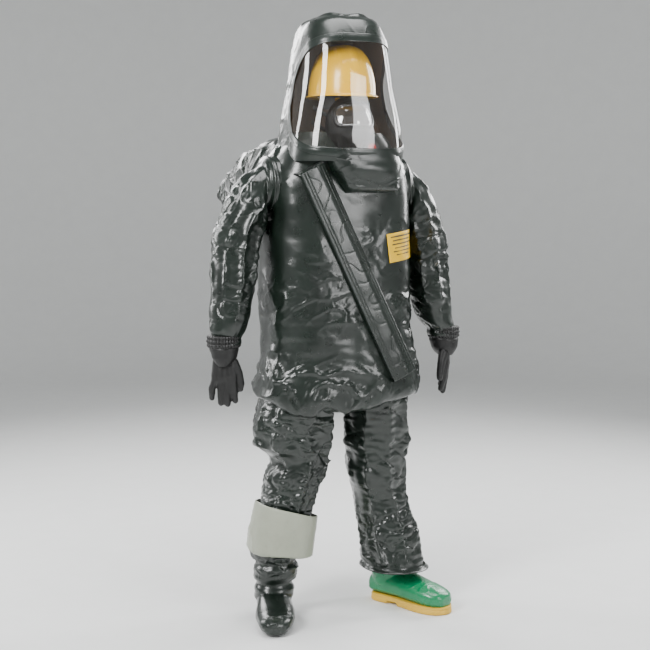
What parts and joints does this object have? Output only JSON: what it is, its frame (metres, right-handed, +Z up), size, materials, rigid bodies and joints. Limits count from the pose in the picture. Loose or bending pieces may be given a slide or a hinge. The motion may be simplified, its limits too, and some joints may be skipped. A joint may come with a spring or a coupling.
{
  "type": "chemical protective suit",
  "caption": "Gas-tight hooded coverall with visor, gloves, sock boots and a slanting closure, worn with helmet, face mask, air set and work boot.",
  "frame": {"origin": "on the floor, under the middle of the overall box", "axes": "+Z up; the front of the suit faces -Y; the wearer's right side is -X"},
  "size_m": [0.8968, 0.661, 1.932],
  "materials": {
    "suit_fabric": "satin",
    "lining": "matte",
    "clear_visor": "gloss",
    "seal": "satin",
    "black_rubber": "matte",
    "helmet_yellow": "gloss",
    "label_yellow": "satin",
    "boot_green": "satin",
    "sole_yellow": "matte",
    "black_plastic": "matte",
    "red_plastic": "satin",
    "metal": "satin",
    "zip_metal": "satin",
    "cylinder_paint": "satin",
    "webbing": "matte"
  },
  "bodies": {
    "torso": {"front_panel_right": "suit_fabric", "front_panel_left": "suit_fabric", "back_panel": "suit_fabric", "pack_hump": "suit_fabric", "crotch_gusset": "suit_fabric", "hood": "suit_fabric", "visor": "clear_visor", "visor_seal": "seal", "visor_bib": "suit_fabric", "zipper_tape": "black_rubber", "flap_hem": "suit_fabric", "chest_label": "label_yellow", "exhaust_housing": "black_rubber", "air_hose": "black_rubber", "back_plate": "black_plastic", "air_cylinder": "cylinder_paint", "cylinder_valve": "metal", "hip_gusset_right": "suit_fabric", "hip_gusset_left": "suit_fabric"},
    "head": {"crown_spacer": "webbing", "helmet_shell": "helmet_yellow", "helmet_cradle": "black_plastic", "mask_facepiece": "black_rubber", "mask_lens": "clear_visor", "demand_valve": "black_plastic"},
    "purge_button": {"purge_button": "red_plastic"},
    "helmet_knob": {"helmet_knob": "black_plastic"},
    "zipper_slider": {"zipper_slider": "zip_metal"},
    "storm_flap": {"storm_flap": "suit_fabric"},
    "exhaust_disc": {"exhaust_disc": "red_plastic"},
    "handwheel": {"handwheel": "black_plastic"},
    "sleeve_head_right": {"armhole_band_right": "suit_fabric"},
    "upper_arm_right": {"upper_sleeve_right": "suit_fabric", "elbow_gusset_right": "suit_fabric"},
    "forearm_right": {"lower_sleeve_right": "suit_fabric", "wrist_cuff_right": "black_rubber"},
    "glove_right": {"glove_right": "black_rubber"},
    "thigh_right": {"thigh_right": "suit_fabric", "knee_gusset_right": "suit_fabric"},
    "shin_right": {"shin_right": "suit_fabric", "sock_leg_right": "suit_fabric", "sock_gusset_right": "suit_fabric", "cuff_right": "lining"},
    "foot_right": {"sock_foot_right": "suit_fabric"},
    "sleeve_head_left": {"armhole_band_left": "suit_fabric"},
    "upper_arm_left": {"upper_sleeve_left": "suit_fabric", "elbow_gusset_left": "suit_fabric"},
    "forearm_left": {"lower_sleeve_left": "suit_fabric", "wrist_cuff_left": "black_rubber"},
    "glove_left": {"glove_left": "black_rubber"},
    "thigh_left": {"thigh_left": "suit_fabric", "knee_gusset_left": "suit_fabric"},
    "shin_left": {"shin_left": "suit_fabric", "sock_leg_left": "suit_fabric", "sock_gusset_left": "suit_fabric", "guard_left": "suit_fabric"},
    "foot_left": {"sock_foot_left": "suit_fabric", "boot_upper": "boot_green", "boot_sole": "sole_yellow"}
  },
  "joints": [
    {"name": "head_turn", "type": "hinge", "parent": "torso", "child": "head", "pos_m": [0, -0.1605, 1.85], "axis": [0, 0, 1], "range_deg": [-20, 20], "deforming": ["air_hose"]},
    {"name": "purge_press", "type": "slide", "parent": "head", "child": "purge_button", "axis": [0, 1, 0], "range_m": [0, 0.003], "stiffness_N_per_m": 700, "springref_m": -0.0005},
    {"name": "cradle_knob_turn", "type": "hinge", "parent": "head", "child": "helmet_knob", "pos_m": [0, -0.0445, 1.658], "axis": [0, 1, 0], "continuous": true},
    {"name": "shoulder_raise_right", "type": "hinge", "parent": "torso", "child": "sleeve_head_right", "pos_m": [-0.229, -0.0945, 1.535], "axis": [0, 1, 0], "range_deg": [0, 65]},
    {"name": "shoulder_swing_right", "type": "hinge", "parent": "sleeve_head_right", "child": "upper_arm_right", "pos_m": [-0.2416, -0.0945, 1.4], "axis": [-1, 0, 0], "range_deg": [-25, 90]},
    {"name": "elbow_right", "type": "hinge", "parent": "upper_arm_right", "child": "forearm_right", "pos_m": [-0.362, -0.1395, 1.115], "axis": [-1, 0, 0], "range_deg": [0, 75], "deforming": ["elbow_gusset_right"]},
    {"name": "wrist_right", "type": "hinge", "parent": "forearm_right", "child": "glove_right", "pos_m": [-0.388, -0.1285, 0.895], "axis": [-1, 0, 0], "range_deg": [-25, 25], "deforming": ["wrist_cuff_right"]},
    {"name": "hip_right", "type": "hinge", "parent": "torso", "child": "thigh_right", "pos_m": [-0.128, -0.1995, 0.72], "axis": [-1, 0, 0], "range_deg": [-10, 65], "deforming": ["hip_gusset_right"]},
    {"name": "knee_right", "type": "hinge", "parent": "thigh_right", "child": "shin_right", "pos_m": [-0.158, -0.0595, 0.49], "axis": [1, 0, 0], "range_deg": [0, 80], "deforming": ["knee_gusset_right"]},
    {"name": "ankle_right", "type": "hinge", "parent": "shin_right", "child": "foot_right", "pos_m": [-0.20858, -0.0951, 0.128], "axis": [-0.9397, 0.342, 0], "range_deg": [-10, 10], "deforming": ["sock_gusset_right"]},
    {"name": "shoulder_raise_left", "type": "hinge", "parent": "torso", "child": "sleeve_head_left", "pos_m": [0.229, -0.0945, 1.535], "axis": [0, -1, 0], "range_deg": [0, 65]},
    {"name": "shoulder_swing_left", "type": "hinge", "parent": "sleeve_head_left", "child": "upper_arm_left", "pos_m": [0.2416, -0.0945, 1.4], "axis": [-1, 0, 0], "range_deg": [-25, 90]},
    {"name": "elbow_left", "type": "hinge", "parent": "upper_arm_left", "child": "forearm_left", "pos_m": [0.362, -0.1395, 1.115], "axis": [-1, 0, 0], "range_deg": [0, 75], "deforming": ["elbow_gusset_left"]},
    {"name": "wrist_left", "type": "hinge", "parent": "forearm_left", "child": "glove_left", "pos_m": [0.388, -0.1285, 0.895], "axis": [-1, 0, 0], "range_deg": [-25, 25], "deforming": ["wrist_cuff_left"]},
    {"name": "hip_left", "type": "hinge", "parent": "torso", "child": "thigh_left", "pos_m": [0.128, -0.1995, 0.72], "axis": [-1, 0, 0], "range_deg": [-10, 65], "deforming": ["hip_gusset_left"]},
    {"name": "knee_left", "type": "hinge", "parent": "thigh_left", "child": "shin_left", "pos_m": [0.158, -0.0595, 0.49], "axis": [1, 0, 0], "range_deg": [0, 80], "deforming": ["knee_gusset_left"]},
    {"name": "ankle_left", "type": "hinge", "parent": "shin_left", "child": "foot_left", "pos_m": [0.20777, -0.09544, 0.128], "axis": [-0.9063, -0.4226, 0], "range_deg": [-10, 10], "deforming": ["sock_gusset_left"]},
    {"name": "zipper_slide", "type": "slide", "parent": "torso", "child": "zipper_slider", "axis": [-0.439, 0, 0.8985], "range_m": [0, 0.64]},
    {"name": "flap_lift", "type": "hinge", "parent": "torso", "child": "storm_flap", "pos_m": [-0.02953, -0.2828, 1.10319], "axis": [0.439, 0, -0.8985], "range_deg": [0, 110]},
    {"name": "exhaust_lift", "type": "slide", "parent": "torso", "child": "exhaust_disc", "axis": [0, 1, 0], "range_m": [0, 0.002], "stiffness_N_per_m": 60, "springref_m": -0.0005},
    {"name": "handwheel_turn", "type": "hinge", "parent": "torso", "child": "handwheel", "pos_m": [-0.051, 0.1685, 1.107], "axis": [1, 0, 0], "range_deg": [0, 720]}
  ]
}
